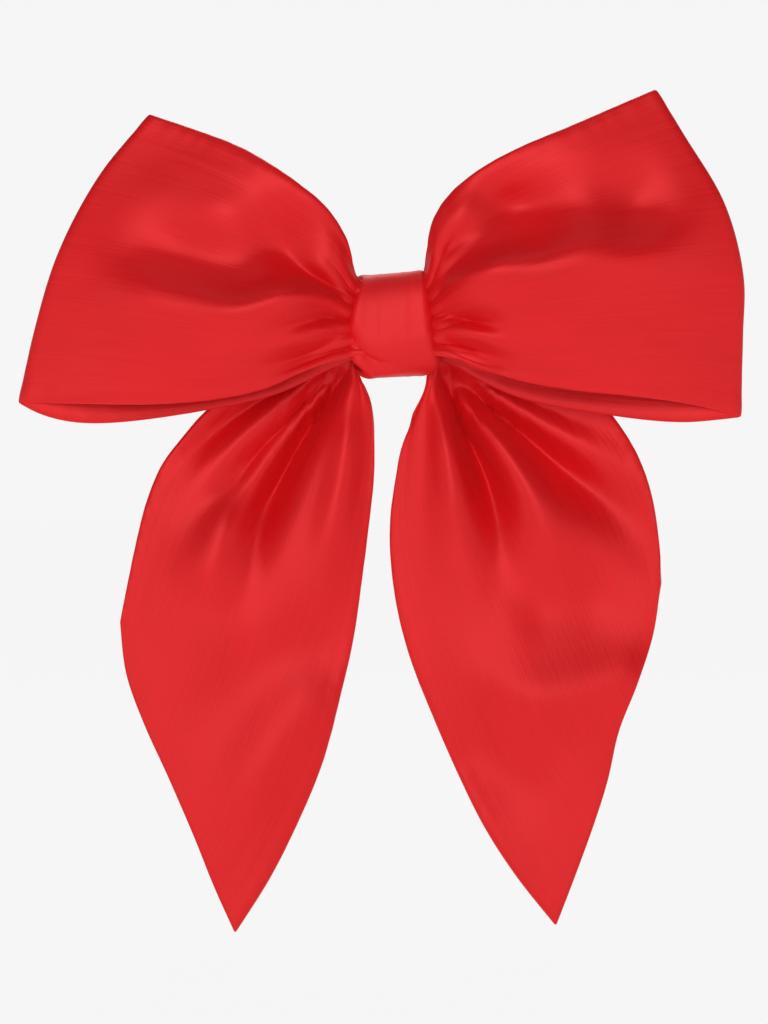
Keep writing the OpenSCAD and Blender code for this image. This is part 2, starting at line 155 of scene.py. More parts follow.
def pleats(t, count, phase):
    """Gathers across a ribbon: rounded tops between narrow creases, from 0 to 1."""
    return np.abs(np.sin(np.pi * count * t + phase)) ** 0.8


# ---------- the cloth solver ----------

STEPS = 90
KEPT_SPEED = 0.88   # the share of its speed that a point keeps from one step to the next
STIFFNESS = 0.4     # how firmly bends are flattened, from 0 to 1
SHEAR = 0.1         # how firmly the diagonals keep their lengths, where 0.5 is fully
FIXED_ROWS = 4      # rows at the knot that stay where they were drawn


def hold_lengths(a, b, rest, share=0.5):
    """Moves each pair of points a, b towards its rest length, in place."""
    d = b - a
    length = np.sqrt((d * d).sum(-1))
    d *= (share * (length - rest) / np.maximum(length, 1e-6))[..., None]
    a += d
    b -= d


def unbend(p, k, soft):
    """Flattens bends k rows long along the first axis, in place."""
    d = (p[:-2 * k] - 2 * p[k:-k] + p[2 * k:]) * soft / 4
    p[k:-k] += d
    p[:-2 * k] -= d / 2
    p[2 * k:] -= d / 2


def relax(p, rest_u, rest_v, pull, crease=None, limit=None):
    """Relaxes a grid of cloth. pull is how firmly each point keeps its first place, per axis, from 0 to 1.
    crease is a row that the cloth may fold sharply at, and limit is called with the grid at each step."""
    target = p.copy()
    rest_a = np.linalg.norm(p[1:, 1:] - p[:-1, :-1], axis=-1)
    rest_b = np.linalg.norm(p[1:, :-1] - p[:-1, 1:], axis=-1)
    halves = [p] if crease is None else [p[:crease + 1], p[crease:]]
    speed = np.zeros_like(p)
    for _ in range(STEPS):
        before = p.copy()
        p += KEPT_SPEED * speed
        for k in (0, 1, 0, 1):
            m = (p.shape[0] - 1 - k) // 2 * 2 + k
            n = (p.shape[1] - 1 - k) // 2 * 2 + k
            hold_lengths(p[k:m:2], p[k + 1:m + 1:2], rest_u[k:m:2])
            hold_lengths(p[:, k:n:2], p[:, k + 1:n + 1:2], rest_v[:, k:n:2])
            hold_lengths(p[k:m:2, :-1], p[k + 1:m + 1:2, 1:], rest_a[k:m:2], SHEAR)
            hold_lengths(p[k:m:2, 1:], p[k + 1:m + 1:2, :-1], rest_b[k:m:2], SHEAR)
        for reach, share in ((1, 1.0), (3, 0.2)):
            for half in halves:
                unbend(half, reach, STIFFNESS * share)
            unbend(p.swapaxes(0, 1), reach, STIFFNESS * share)
        p += pull * (target - p)
        if limit is not None:
            limit(p)
        speed = p - before
    return p


def row_lengths(p, axis):
    """The lengths of a grid's segments along one axis."""
    return np.linalg.norm(np.diff(p, axis=axis), axis=-1)


# ---------- loops ----------

LOOP_OUT = 64       # rows from the knot to the outer fold
LOOP_ACROSS = 80    # rows across the ribbon

# Edges of each loop: the front panel's lower and upper edge, the outer fold, and the back panel's hem.
LEFT = dict(
    side=-1,
    low=[(4, -5), (7, -5.2), (15, -8.2), (21, -10.7), (29, -12.4), (38, -13.1), (48.5, -13.1),
         (60.4, -12.9)],
    high=[(4, 5.6), (6.1, 8), (6.9, 12), (8.5, 15.5), (10.8, 18.7), (14.6, 21.9), (19.2, 25.1),
          (24.6, 28.3), (33, 31.7), (39.1, 33.9)],
    outer=[(60.4, -12.9), (57.9, -1.2), (54, 11.5), (47.2, 24.2), (39.1, 33.9)],
    hem=[(4, -5), (8, -6), (18, -11), (30, -13.9), (44.5, -16), (51.4, -16), (56.7, -14.8), (60.4, -12.9)],
    crest=([(8, 4.2), (14, 4.1), (19, 3.7), (24.1, 1.9), (29, 1.9), (38.7, 3.8), (45, 6.5), (50, 11)],
           4.2, 3.8),
    folds=[
        ([(7, 5.2), (12, 6.8), (16.5, 10), (20, 15)], -2.8, 0.9, 3.4),
        ([(26, 12), (28, 22)], 0.9, 4, 5),
        ([(46, 25), (38, 30)], -1.4, 5, 5),
        ([(12, 19), (17, 23), (25, 26.5)], 1.4, 3, 4),
        ([(7, 1.2), (13, 0.4), (20, -1.6)], -3.4, 0.8, 1.8),
        ([(7, -1.6), (14, -4.6), (22, -7.4)], -3.4, 0.8, 1.7),
        ([(7, -3.6), (14, -6.6), (20, -8.8)], -1.8, 0.6, 1.0),
        ([(7, 2.8), (12, 2.6), (15, 2.2)], -1.4, 0.6, 0.9),
    ],
    back_folds=[
        ([(10, 9), (18, 14), (28, 17)], -3.0, 1.6, 4.6),
        ([(9, 4), (22, 3), (38, 4)], 2.4, 2, 6),
        ([(14, 20), (24, 25)], 1.2, 3, 5),
        ([(48, 8), (44, 20)], 1.2, 6, 6),
    ],
)
RIGHT = dict(
    side=1,
    low=[(4, -4.6), (6.6, -4.8), (10, -5.6), (15, -7.6), (20, -9.2), (29.5, -10.9), (39.3, -11.9),
         (49, -13.3), (56.5, -15.2)],
    high=[(4, 5.6), (5.8, 8.5), (6, 12), (6.4, 15.2), (7.8, 18.4), (10.4, 21.6), (14.5, 24.9),
          (20.6, 28.2), (28.4, 31.5), (35.6, 34.8), (42.7, 38)],
    outer=[(56.5, -15.2), (56.9, -1.5), (57, 7.6), (54, 19.3), (47.6, 30.2), (42.7, 38)],
    hem=[(4, -4.6), (8, -5.6), (20, -11.6), (36.8, -15), (47.1, -16), (52.9, -15.6), (56.5, -15.2)],
    crest=([(7, 5), (13, 7.6), (20, 9.6), (27.6, 10.1), (38.3, 10), (44, 11.6), (50, 15.5), (54, 20)],
           3.8, 3.8),
    folds=[
        ([(22, 13), (20.5, 19), (21, 24)], -2.4, 4.6, 5.0),
        ([(32, 14), (32, 24)], 1.0, 4.5, 4.5),
        ([(40, 17), (39, 29)], -1.0, 5.0, 5.5),
        ([(7, 6.4), (10, 9), (14, 11.6)], -1.5, 0.7, 1.6),
        ([(12.5, 17.5), (15.5, 16)], 2.0, 3.0, 2.8),
        ([(9, 11.5), (11.5, 13)], -1.6, 1.4, 1.2),
        ([(7, 1.8), (13, 0.6), (20, -2.0)], -3.6, 0.8, 2.0),
        ([(7, -1.4), (13, -4.0), (23, -7.8)], -3.4, 0.8, 1.9),
        ([(7, -3.2), (14, -6.4), (20, -8.4)], -1.9, 0.6, 1.0),
    ],
    back_folds=[
        ([(10, 12), (15, 15.5), (22, 14)], -3.4, 1.6, 4),
        ([(8, 8), (16, 10), (24, 9)], 2.2, 1.4, 3),
        ([(12, 20), (20, 25), (28, 27)], 1.4, 3, 5),
        ([(50, 0), (50, 16)], 2.4, 6, 7),
        ([(36, 4), (38, 18)], -2.0, 5, 6),
    ],
)
PANEL_PUFF = 5.5    # how far a front panel stands forward along its edges
ARCH = 4.5          # and how much further between them
BACK_PUFF = 1.0     # how far a back panel stands back along its edges
NECK_FRONT = gather_low[1] + 1.4    # depth of the front panels at the knot
NECK_BACK = gather_low[1] + 4.4     # depth of the back panels there
OUTER_FOLD = gather_low[1] - 1.0    # depth of the outer folds
CLEAR_OF_TAILS = gather_high[1] - 3.6   # as far back as a back panel may come


def loop_grid(shape, seed):
    """The relaxed grid of one loop: from the knot along the front, round the outer fold and back behind."""
    phase = np.random.default_rng(seed).uniform(0, np.pi, 3)
    m, n = LOOP_OUT, LOOP_ACROSS
    s = np.linspace(0, 1, m)[:, None]
    t = np.linspace(0, 1, n)[None, :]
    neck = curve([shape["low"][0], shape["high"][0]], n)
    outer = curve(shape["outer"], n)
    front = patch(curve(shape["low"], m), curve(shape["high"], m), neck, outer)
    back_high = curve(shape["high"], m) - np.sin(np.pi * s) * [0.4, 1.0]
    back = patch(curve(shape["hem"], m), back_high, neck, outer)
    arch = np.sin(np.pi * t) ** 0.8
    swell = np.sin(np.pi * np.clip((s - 0.05) / 0.95, 0, 1) ** 0.75)
    lean = 0.04 * np.sin(4 * s + phase[1])
    before_fold = 1 - ramp(0.74, 0.99, s)
    front_folds = crest_height(front, *shape["crest"]) + folds_height(front, shape["folds"])
    front_folds *= ramp(0.04, 0.18, s) * before_fold
    front_gathers = 1.2 * np.exp(-((s / 0.22) ** 1.5)) * pleats(t + lean, 6, phase[0])
    y_front = NECK_FRONT + (OUTER_FOLD - NECK_FRONT) * s - swell * (PANEL_PUFF + ARCH * arch)
    y_front -= front_folds + front_gathers
    back_folds = folds_height(back, shape["back_folds"]) * ramp(0.04, 0.2, s) * before_fold
    back_gathers = 1.3 * np.exp(-((s / 0.25) ** 1.5)) * (pleats(t - lean, 5, phase[2]) - 1)
    y_back = NECK_BACK + (OUTER_FOLD - NECK_BACK) * ramp(0, 1, s) + swell * BACK_PUFF * (1 + arch)
    y_back += back_folds + back_gathers
    front = np.stack([front[..., 0], y_front, front[..., 1]], -1)
    back = np.stack([back[..., 0], y_back, back[..., 1]], -1)
    p = np.concatenate([front, back[-2::-1]])

    out = np.abs(np.linspace(-1, 1, 2 * m - 1))[:, None]
    spare = 1 + 0.06 * ramp(0.6, 1, out)
    rest_v = row_lengths(p, 1) * spare
    rest_u = row_lengths(p, 0)
    edge = np.minimum(t, 1 - t) * (n - 1)
    pull = np.zeros(p.shape) + (0.03, 0.05, 0.03)
    pull += np.array([0.15, 0.05, 0.15]) * np.exp(-edge / 2)[..., None]
    pull[m - 1] = (0.5, 0.3, 0.5)
    pull[:FIXED_ROWS] = 1
    pull[-FIXED_ROWS:] = 1

    def limit(q):
        """Keeps the back panel clear of the tails."""
        np.minimum(q[m:, :, 1], CLEAR_OF_TAILS, out=q[m:, :, 1])

    p = relax(p, rest_u, rest_v, pull, crease=m - 1, limit=limit)
    p[..., 0] *= shape["side"]
    return p


# ---------- tails ----------

TAIL_DOWN = 110     # rows from the knot to the cut end
TAIL_ACROSS = 64    # rows across the ribbon

# Edges of each tail: its inner edge down to the tip, its outer edge to the corner, and the cut between.
LEFT_TAIL = dict(
    side=-1,
    low=[(5, -5.5), (6, -8), (4.4, -11), (3.1, -14.5), (2.8, -19), (2.9, -25), (3.6, -31.4), (4.8, -41.1),
         (6.3, -51.8), (8.7, -62), (11.5, -72.3), (15.6, -82.1), (20, -90.8), (25.7, -99.8)],
    high=[(5, 1), (9, 0.8), (16, -2.6), (24, -8), (30, -13.4), (34, -17.8), (37.7, -22.6), (40, -28),
          (41.6, -34), (43.3, -42), (44.6, -48.5)],
    end=[(25.7, -99.8), (29.2, -92), (32.4, -84), (36.6, -74.3), (40.8, -65), (43.6, -57), (44.6, -48.5)],
    folds=[
        ([(8.4, -8.5), (13, -15.5), (18, -24), (22.4, -33), (25, -43)], -7.0, 1.2, 4.2),
        ([(10.5, -7.5), (17, -15.5), (24, -23.5), (31, -31.5)], -5.2, 1.0, 3.0),
        ([(14, -8), (24, -14), (30, -18.5), (37, -25)], -3.2, 1.0, 3.0),
        ([(6.8, -11), (7.4, -20), (9.4, -32), (12.5, -46)], 2.6, 1.2, 4.0),
        ([(11, -10.5), (20, -21), (26, -31)], 2.0, 0.8, 2.2),
        ([(27, -34), (31, -46)], 2.2, 4, 6),
        ([(14, -52), (26, -60), (34, -72)], -1.2, 6, 6),
        ([(14, -62), (22, -74), (27, -86)], 1.4, 5, 5),
    ],
)
RIGHT_TAIL = dict(
    side=1,
    low=[(5, -5.5), (6.4, -8), (5.4, -12), (3.2, -16), (1.6, -20), (0.7, -25), (-0.2, -31.4), (-0.2, -38),
         (0.9, -46.5), (3.1, -54.8), (6.5, -63.5), (10.3, -72.3), (15.1, -82.1), (20.4, -90.3), (27, -98.6)],
    high=[(5, 1), (9, 1), (17, -1.6), (26, -6), (33, -11), (37, -15.6), (40.2, -20.7), (42.7, -27.5),
          (44.1, -36.3), (44.3, -42)],
    end=[(27, -98.6), (30.7, -88.9), (33.5, -81.1), (35.6, -74.3), (37.3, -66.5), (40.2, -58.7),
         (42.9, -50.9), (44.3, -42)],
    folds=[
        ([(8.6, -8.5), (12, -16), (15.6, -24), (17.4, -31), (18.4, -41)], -6.4, 1.2, 3.8),
        ([(9.8, -7.5), (15, -12.5), (22, -18), (30, -24.5), (36, -29.5), (42, -37)], -5.8, 1.1, 4.2),
        ([(13, -8), (24, -13), (38, -20)], -2.4, 0.9, 2.8),
        ([(11, -12), (18, -20), (24, -30), (28, -42)], 2.4, 0.9, 4.2),
        ([(8, -14), (9.6, -24), (10.4, -38)], 2.4, 1.2, 3.4),
        ([(16, -11), (26, -17), (40, -26)], 1.4, 0.9, 2.2),
        ([(32, -45), (18, -47)], -2.2, 7, 5),
        ([(38, -58), (24, -61), (12, -56)], 2.4, 4.5, 4.0),
        ([(14, -70), (27, -80)], -1.4, 5, 5),
    ],
)


TAIL_ROOT = gather_high[1] - 1.2    # depth of the tails where they leave the knot
TAIL_FRONT = gather_high[1] - 2.4   # the room that they have beside it, behind the loops
TAIL_BACK = GLUE_Y - 0.7            # and in front of the clip


def tail_grid(shape, seed):
    """The relaxed grid of one tail, from its gathered root to the diagonal cut at its end."""
    phase = np.random.default_rng(seed).uniform(0, np.pi)
    m, n = TAIL_DOWN, TAIL_ACROSS
    s = np.linspace(0, 1, m)[:, None]
    t = np.linspace(0, 1, n)[None, :]
    root = curve([shape["low"][0], shape["high"][0]], n)
    xz = patch(curve(shape["low"], m), curve(shape["high"], m), root, curve(shape["end"], n))
    bulge = 2.2 * np.sin(np.pi * s) * np.sin(np.pi * t)
    folds = folds_height(xz, shape["folds"]) * ramp(0.01, 0.1, s)
    gathers = np.exp(-((s / 0.13) ** 1.5)) * (pleats(t, 5, phase) - 0.5)
    y = TAIL_ROOT + (TAIL_Y - TAIL_ROOT) * ramp(0, 0.25, s) - bulge - folds - gathers
    p = np.stack([xz[..., 0], y, xz[..., 1]], -1)
    edge = np.minimum(np.minimum(t, 1 - t) * (n - 1), (1 - s) * (m - 1))
    pull = np.zeros(p.shape) + (0.03, 0.06, 0.03)
    pull += np.array([0.2, 0.05, 0.2]) * np.exp(-edge / 2)[..., None]
    pull[:FIXED_ROWS] = 1

    mid_y = (TAIL_FRONT + TAIL_BACK) / 2
    reach = (TAIL_BACK - TAIL_FRONT) / 2
    near_loops = ramp(-20, -11, p[..., 2])
    near_clip = ramp(-14, -8, p[..., 2])
    held = mid_y + reach * np.tanh((p[..., 1] - mid_y) / reach)
    p[..., 1] += np.where(p[..., 1] < mid_y, near_loops, near_clip) * (held - p[..., 1])
    p = relax(p, row_lengths(p, 0), row_lengths(p, 1), pull)
    p[..., 0] *= shape["side"]
    return p


# ---------- wrap ----------

WRAP_ROUND = 120    # rows round the gathers
WRAP_ACROSS = 44    # rows across the strip
WRAP_HALF = 5.9     # its half width at the back
WRAP_TURNS = 1.05   # so that its end laps over its start
WRAP_START = -0.125     # where it starts, in turns from straight back
# The wrap's left and right edge at each height of its front, as (height, left, right).
WRAP_EDGES = ((-9, -3.4, 8), (-7.4, -4.4, 7.8), (-5.6, -6.2, 7.2), (-3, -6.9, 6.8), (-1, -7.2, 6.5),
              (2.5, -6.8, 6.2), (6, -5.8, 5.8), (9, -5.2, 5.4))
WRAP_FOLDS = [
    ([(-6.8, -1), (-5, -4.2), (-2.2, -6.2), (3, -7)], -1.1, 1.1, 1.1),
    ([(-2.2, 7), (-1.6, 1), (-2.8, -4)], -0.12, 2.0, 2.6),
    ([(3.4, 7), (3.6, 0), (4.8, -5)], -0.10, 1.8, 2.4),
]


def wrap_grid():
    """The wrap: a strip that goes once round the gathers, from its seam at the back over the top."""
    m, n = WRAP_ROUND, WRAP_ACROSS
    turn = np.linspace(0, 1, m)[:, None]
    t = np.linspace(0, 1, n)[None, :]
    angle = 2 * np.pi * (turn * WRAP_TURNS + WRAP_START)
    mid_y = (wrap_low[1] + wrap_high[1]) / 2
    deep, tall = (wrap_high - wrap_low)[1:] / 2 - 0.45
    c, si = np.cos(angle), np.sin(angle)
    power = 2 / 2.7
    lap = 0.85 * ramp(0.93, 0.99, turn)
    y = mid_y + (deep - 0.4 + lap) * np.sign(c) * np.abs(c) ** power
    z = (tall + lap * 0.5) * np.sign(si) * np.abs(si) ** power
    heights, left, right = zip(*WRAP_EDGES)
    on_front = ramp(-0.35, 0.35, -c)
    x_left = -WRAP_HALF + on_front * (np.interp(z, heights, left) + WRAP_HALF)
    x_right = WRAP_HALF + on_front * (np.interp(z, heights, right) - WRAP_HALF)
    x = x_left + (x_right - x_left) * t
    zz = z + 0 * x
    edge = np.minimum(t, 1 - t)
    tuck = 0.9 * np.exp(-((edge / 0.04) ** 2)) - 0.3 * np.sin(np.pi * t)
    yz = np.stack([y + 0 * x, zz], -1) - [mid_y, 0]
    size = np.linalg.norm(yz, axis=-1, keepdims=True)
    relief = folds_height(np.stack([x, zz], -1), WRAP_FOLDS) * ramp(0.2, 0.8, -c)
    yz *= 1 + (relief - tuck)[..., None] / size
    return np.stack([x, yz[..., 0] + mid_y, yz[..., 1] + 0.13 * x * on_front], -1)


CORE_ROUND = 96     # points round each ring
CORE_LONG = 12      # rings along the bundle
CORE_CAP = 10       # and on each of its two ends
CORE_HALF = (5.6, 4.0, 6.6)     # its half length, depth and height
GROOVE = 0.10       # how deep its grooves are, as a share of its size


def core_grid():
    """The gathers that the wrap squeezes: a bundle grooved all round, and puckered at its two ends."""
    around = np.linspace(0, 2 * np.pi, CORE_ROUND, endpoint=False)[None, :]
    side = np.linspace(-1, 1, CORE_LONG)[:, None]
    cap = np.linspace(0.06, 0.94, CORE_CAP)[:, None]
    out = np.concatenate([np.sin(cap * np.pi / 2), np.ones((CORE_LONG, 1)), np.sin(cap[::-1] * np.pi / 2)])
    x = np.concatenate([-1 - 0.16 * (1 - cap), side, 1 + 0.16 * (1 - cap[::-1])])
    bend = around + 0.5 * np.sin(2 * around) * (1 - out)
    groove = pleats(bend / (2 * np.pi), 18, 0.4) * (0.7 + 0.3 * np.sin(3 * around + 1.0))
    size = out * (1 + GROOVE * (groove - 1))
    c, si = np.cos(around), np.sin(around)
    half_x, half_y, half_z = CORE_HALF
    mid_y = (wrap_low[1] + wrap_high[1]) / 2
    y = mid_y + half_y * size * np.sign(c) * np.abs(c) ** 0.8
    z = half_z * size * np.sign(si) * np.abs(si) ** 0.8
    on_cap = np.abs(x) > 0.99
    x = half_x * x * (1 - GROOVE * out * (1 - groove) * on_cap)
    return np.stack([x + 0 * y, y, z], -1)


# ---------- meshes ----------

THICK = 0.9         # two layers of satin
BEAD_AT = 1.2       # the middle of the rolled edge, in from the cloth's edge
BEAD_W = 1.1
HEM_W = 4.6         # how far in the hem reaches


def new_piece(name, verts, faces, mat):
    """A smooth mesh object from points in millimetres."""
    mesh = bpy.data.meshes.new(name)
    mesh.from_pydata((np.asarray(verts) * MM).tolist(), [], faces)
    mesh.materials.append(mat)
    mesh.polygons.foreach_set("use_smooth", np.ones(len(mesh.polygons), bool))
    ob = bpy.data.objects.new(name, mesh)
    bpy.context.scene.collection.objects.link(ob)
    return ob


def add_flat_uv(ob, flat, faces):
    """Gives each corner its point's place on the flat cloth, in metres."""
    corners = [k for face in faces for k in face]
    uv = ob.data.uv_layers.new(name="flat")
    uv.data.foreach_set("uv", flat[corners].astype(np.float32).ravel())


def subdivide(ob):
    """Subdivides an object's mesh once, with no modifier left on it."""
    ob.modifiers.new("subdivide", "SUBSURF").levels = 1
    bpy.context.view_layer.update()
    ob_now = ob.evaluated_get(bpy.context.evaluated_depsgraph_get())
    final = bpy.data.meshes.new_from_object(ob_now)
    ob.modifiers.clear()
    ob.data = final
    final.polygons.foreach_set("use_smooth", np.ones(len(final.polygons), bool))


def sheet_mesh(name, p, mat):
    """A mesh of grid p with two faces and a rounded rim. Its UVs are the flat cloth, in metres."""
    m, n = p.shape[:2]
    normal = np.cross(np.gradient(p, axis=0), np.gradient(p, axis=1))
    normal /= np.maximum(np.linalg.norm(normal, axis=-1, keepdims=True), 1e-9)
    edge = np.minimum(np.arange(n), np.arange(n)[::-1])[None, :, None] * row_lengths(p, 1).mean()
    bead = 0.35 * np.exp(-(((edge - BEAD_AT) / BEAD_W) ** 2))
    hem = 0.12 * (1 - ramp(HEM_W - 0.4, HEM_W + 0.4, edge))
    half = THICK / 2 * (1 + bead + hem)
    run = np.concatenate([[0], np.cumsum(row_lengths(p, 0).mean(1))])
    along = run[:, None, None]
    pucker = 0.05 * np.sin(1.7 * along + 1.3 * np.sin(0.41 * along)) * np.exp(-((edge / 2.4) ** 2))
    mid = p + normal * pucker + (KNOT_X, 0, KNOT_Z)
    both = np.concatenate([mid + normal * half, mid - normal * half])
    at = np.arange(m * n).reshape(m, n)
    front = np.stack([at[:-1, :-1], at[1:, :-1], at[1:, 1:], at[:-1, 1:]], -1).reshape(-1, 4)
    ring = np.concatenate([at[0, :-1], at[:-1, -1], at[-1, :0:-1], at[:0:-1, 0]])
    after = np.roll(ring, -1)
    rim = np.stack([ring, after, after + m * n, ring + m * n], -1)
    faces = np.concatenate([front, front[:, ::-1] + m * n, rim]).tolist()
    ob = new_piece(name, both.reshape(-1, 3), faces, mat)
    across = np.linspace(0, row_lengths(p, 1).sum(1).max(), n)
    flat = np.stack(np.meshgrid(run, across, indexing="ij"), -1).reshape(-1, 2) * MM
    add_flat_uv(ob, np.concatenate([flat, flat]), faces)
    subdivide(ob)
    return ob


def bundle_mesh(name, p, mat):
    """A closed mesh through rings of points, the first and the last of them capped."""
    m, n = p.shape[:2]
    at = np.arange(m * n).reshape(m, n)
    after = np.roll(at, -1, axis=1)
    faces = np.stack([at[:-1], after[:-1], after[1:], at[1:]], -1).reshape(-1, 4).tolist()
    faces += [at[0, ::-1].tolist(), at[-1].tolist()]
    ob = new_piece(name, (p + (KNOT_X, 0, KNOT_Z)).reshape(-1, 3), faces, mat)
    add_flat_uv(ob, p[..., (0, 2)].reshape(-1, 2) * MM, faces)
    return ob


def tube_mesh(name, lines, radius, mat, sides=10):
    """A round wire or thread along each line of points, with domed ends."""
    verts, faces = [], []
    for line in lines:
        line = np.array(line, float)
        tangent = np.gradient(line, axis=0)
        tangent /= np.linalg.norm(tangent, axis=1, keepdims=True)
        side = np.cross(tangent[0], (0.3, 0.2, 0.9))
        rings = []
        for point, along in zip(line, tangent):
            side = side - along * (side @ along)
            side /= np.linalg.norm(side)
            rings.append((point, side.copy(), np.cross(along, side), along))
        ends = [(-0.9, 0.45), (-0.6, 0.8), (0, 1)]
        shape = [(rings[0], back, r) for back, r in ends]
        shape += [(ring, 0, 1) for ring in rings[1:-1]]
        shape += [(rings[-1], -back, r) for back, r in ends[::-1]]
        base = len(verts)
        for (point, u, v, along), shift, r in shape:
            for a in np.linspace(0, 2 * np.pi, sides, endpoint=False):
                verts.append(point + radius * (shift * along + r * (np.cos(a) * u + np.sin(a) * v)))
        for i in range(len(shape) - 1):
            for k in range(sides):
                a, b = base + i * sides + k, base + i * sides + (k + 1) % sides
                faces.append((a, b, b + sides, a + sides))
        faces.append([base + k for k in range(sides)][::-1])
        faces.append([base + (len(shape) - 1) * sides + k for k in range(sides)])
    return new_piece(name, verts, faces, mat)


# ---------- materials ----------


class Nodes:
    """A short way to add and link the nodes of one material."""

    def __init__(self, name):
        self.mat = bpy.data.materials.new(name)
        self.mat.use_nodes = True
        self.tree = self.mat.node_tree
        self.shader = self.tree.nodes["Principled BSDF"]

    def set(self, **values):
        for key, value in values.items():
            self.shader.inputs[key.replace("_", " ")].default_value = value

    def add(self, kind, inputs=None, **settings):
        node = self.tree.nodes.new("ShaderNode" + kind)
        for key, value in settings.items():
            setattr(node, key, value)
        for key, value in (inputs or {}).items():
            if isinstance(value, bpy.types.NodeSocket):
                self.tree.links.new(value, node.inputs[key])
            else:
                node.inputs[key].default_value = value
        return node

    def link(self, out, name):
        self.tree.links.new(out, self.shader.inputs[name])

    def cloth_coords(self, scale):
        """The flat cloth's own coordinates, in metres, times a scale along and across the ribbon."""
        uv = self.add("UVMap", uv_map="flat")
        return self.add("Mapping", {"Vector": uv.outputs[0], "Scale": (*scale, 1)}).outputs[0]

    def object_coords(self, scale):
        coords = self.add("TexCoord")
        return self.add("Mapping", {"Vector": coords.outputs["Object"], "Scale": scale}).outputs[0]

    def noise(self, vector, detail=2.0, rough=0.5):
        return self.add("TexNoise", {"Vector": vector, "Scale": 1.0, "Detail": detail, "Roughness": rough})

    def remap(self, value, low, high, start=0.3, end=0.7):
        node = self.add("MapRange", {"Value": value, "From Min": start, "From Max": end, "To Min": low,
                                     "To Max": high})
        return node.outputs[0]

    def bump(self, height, distance, strength=1.0, normal=None):
        inputs = {"Height": height, "Distance": distance, "Strength": strength}
        if normal is not None:
            inputs["Normal"] = normal
        return self.add("Bump", inputs).outputs[0]


def satin():
    """Red satin: long floats along the ribbon, so its gloss is soft and stretched across them."""
    k = Nodes("satin_red")
    k.set(Metallic=0.2, Specular_IOR_Level=0.28, Anisotropic=0.4, Sheen_Weight=0.04,
          Sheen_Roughness=0.4, Sheen_Tint=(1.0, 0.55, 0.55, 1))
    tangent = k.add("Tangent", direction_type="UV_MAP", uv_map="flat")
    k.link(tangent.outputs[0], "Tangent")
    slub = k.noise(k.cloth_coords((60, 1600)), 3)
    cloud = k.noise(k.cloth_coords((45, 60)), 2)
    both = k.add("Mix", {"Factor": 0.5, 2: slub.outputs[0], 3: cloud.outputs[0]}, data_type="FLOAT")
    shade = k.remap(both.outputs[0], 0.0, 1.0)
    colour = k.add("Mix", {0: shade, 6: (0.66, 0.006, 0.009, 1), 7: (0.77, 0.009, 0.013, 1)},
                   data_type="RGBA")
    k.link(colour.outputs[2], "Base Color")
    k.link(k.remap(slub.outputs[0], 0.42, 0.50), "Roughness")
    twill = k.add("TexWave", {"Vector": k.cloth_coords((1, 1)), "Scale": 1250.0, "Distortion": 0.6,
                              "Detail": 1.0}, bands_direction="DIAGONAL")
    weave = k.bump(twill.outputs[0], 0.00001, 0.5)
    k.link(k.bump(slub.outputs[0], 0.00006, 0.6, weave), "Normal")
    return k.mat


def thread():
    k = Nodes("red_thread")
    k.set(Base_Color=(0.52, 0.006, 0.012, 1), Roughness=0.5, Sheen_Weight=0.3, Sheen_Roughness=0.4)
    coords = k.object_coords((1, 1, 1))
    twist = k.add("TexWave", {"Vector": coords, "Scale": 900.0}, bands_direction="DIAGONAL")
    k.link(k.bump(twist.outputs[0], 0.00004), "Normal")
    # Painted shade: the thread's colour is darker in the twist's grooves and lighter on its ridges,
    # following the same bands as the bump.
    shade = k.add("ValToRGB", {"Fac": twist.outputs[0]})
    shade.color_ramp.elements[0].color = (0.36, 0.004, 0.008, 1)
    shade.color_ramp.elements[1].color = (0.60, 0.008, 0.014, 1)
    k.link(shade.outputs[0], "Base Color")
    return k.mat


def glue():
    """Hot glue: milky, with a skin that is smooth but not flat."""
    k = Nodes("hot_glue")
    k.set(Base_Color=(0.86, 0.82, 0.72, 1), Subsurface_Weight=0.4, Subsurface_Scale=0.002)
    skin = k.noise(k.object_coords((400, 400, 400)), 3)
    k.link(k.remap(skin.outputs[0], 0.2, 0.42), "Roughness")
    k.link(k.bump(skin.outputs[0], 0.00015), "Normal")
    return k.mat


def steel(name, colour, dull_colour, smooth, dull):
    """Plated or drawn steel, with a faint grain along the clip, dull patches and a few scratches."""
    k = Nodes(name)
    k.set(Metallic=1.0)
    cloud = k.noise(k.object_coords((120, 120, 120)), 4)
    grain = k.noise(k.object_coords((60, 2500, 2500)), 3)
    scratch = k.noise(k.object_coords((700, 90, 90)), 6, 0.7)
    both = k.add("Math", {0: cloud.outputs[0], 1: grain.outputs[0]}, operation="ADD")
    k.link(k.remap(both.outputs[0], smooth, dull, 0.7, 1.3), "Roughness")
    tone = k.add("ValToRGB", {"Fac": cloud.outputs[0]})
    tone.color_ramp.elements[0].position = 0.35
    tone.color_ramp.elements[0].color = dull_colour
    tone.color_ramp.elements[1].position = 0.6
    tone.color_ramp.elements[1].color = colour
    k.link(tone.outputs[0], "Base Color")
    fine = k.bump(grain.outputs[0], 0.000008)
    k.link(k.bump(scratch.outputs[0], 0.00001, 0.6, fine), "Normal")
    return k.mat


# ---------- stitches, glue and spring ----------

STITCHES = 6
THREAD_R = 0.13


def stitch_lines(seed):
    """Slanted hand stitches over the wrap's seam, each an arc that dips into the cloth at its ends."""
    rng = np.random.default_rng(seed)
    low, high = (np.array(c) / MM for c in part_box("wrap_stitches"))
    lines = []
    for x in np.linspace(low[0] + 0.5, high[0] - 0.5, STITCHES):
        x += rng.uniform(-0.25, 0.25)
        slant = rng.uniform(0.35, 0.6)
        t = np.linspace(-1, 1, 9)[:, None]
        mid = np.array([x, low[1] - 0.02, (low[2] + high[2]) / 2 + rng.uniform(-0.1, 0.1)])
        lines.append(mid + t * [slant, 0, 0.78] + (0.12 - 0.5 * t ** 4) * [0, 1, 0])
    return lines


